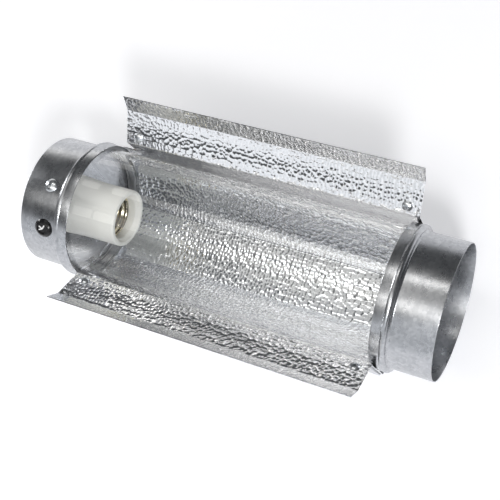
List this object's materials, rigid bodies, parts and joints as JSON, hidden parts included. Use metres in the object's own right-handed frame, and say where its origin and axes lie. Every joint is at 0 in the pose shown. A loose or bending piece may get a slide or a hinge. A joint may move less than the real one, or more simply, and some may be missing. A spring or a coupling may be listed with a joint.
{
  "type": "air-cooled tube grow lamp",
  "caption": "Air-cooled horticultural lamp: clear glass tube between two duct spigots, hammered reflector wings behind it and a large screw-base lampholder inside the inlet.",
  "frame": {"origin": "centre of the footprint at the level of the strap feet the lamp lies on, light opening upward", "axes": "+X along the tube from the inlet spigot with the lampholder to the outlet spigot, +Z out of the light opening, Y across the wings"},
  "size_m": [0.406, 0.199, 0.141],
  "materials": {
    "galvanised_steel": "bright galvanised sheet, satin",
    "hammered_aluminium": "hammered, bright mirror dimples",
    "clear_glass": "clear polished borosilicate",
    "silicone": "translucent pale silicone",
    "strap_steel": "zinc-plated strip and wire",
    "zinc_screws": "bright zinc plate",
    "porcelain": "cream-white glazed porcelain",
    "plated_brass": "nickel-plated brass, rolled thread",
    "contact_brass": "plain turned brass",
    "spring_steel": "drawn spring wire",
    "black_rubber": "moulded black rubber, slight gloss"
  },
  "bodies": {
    "lamp": {"inlet_flange": "galvanised_steel", "outlet_flange": "galvanised_steel", "glass_tube": "clear_glass", "inlet_seal": "silicone", "outlet_seal": "silicone", "reflector": "hammered_aluminium", "inlet_strap": "strap_steel", "outlet_strap": "strap_steel", "corner_screws": "zinc_screws", "corner_nuts": "zinc_screws", "collar_screws": "zinc_screws", "ring_clips": "strap_steel", "clip_rivets": "zinc_screws", "lampholder_body": "porcelain", "screw_shell": "plated_brass", "contact_spring": "spring_steel", "live_terminal": "contact_brass", "neutral_terminal": "contact_brass", "terminal_screws": "zinc_screws", "holder_bracket": "strap_steel", "holder_screws": "zinc_screws", "bracket_screws": "zinc_screws", "bracket_nuts": "zinc_screws", "cable_grommet": "black_rubber", "earth_screw": "contact_brass", "earth_nut": "contact_brass"},
    "inlet_hang_ring": {"inlet_ring": "strap_steel"},
    "outlet_hang_ring": {"outlet_ring": "strap_steel"},
    "centre_contact": {"centre_contact": "contact_brass"}
  },
  "joints": [
    {"name": "inlet_ring_swing", "type": "hinge", "parent": "lamp", "child": "inlet_hang_ring", "pos_m": [-0.11235, 0, 0.0034], "axis": [0, 1, 0], "range_deg": [0, 180]},
    {"name": "outlet_ring_swing", "type": "hinge", "parent": "lamp", "child": "outlet_hang_ring", "pos_m": [0.12935, 0, 0.0034], "axis": [0, -1, 0], "range_deg": [0, 180]},
    {"name": "contact_press", "type": "slide", "parent": "lamp", "child": "centre_contact", "axis": [-1, 0, 0], "range_m": [0, 0.0025], "stiffness_N_per_m": 2400, "springref_m": -0.0015}
  ]
}
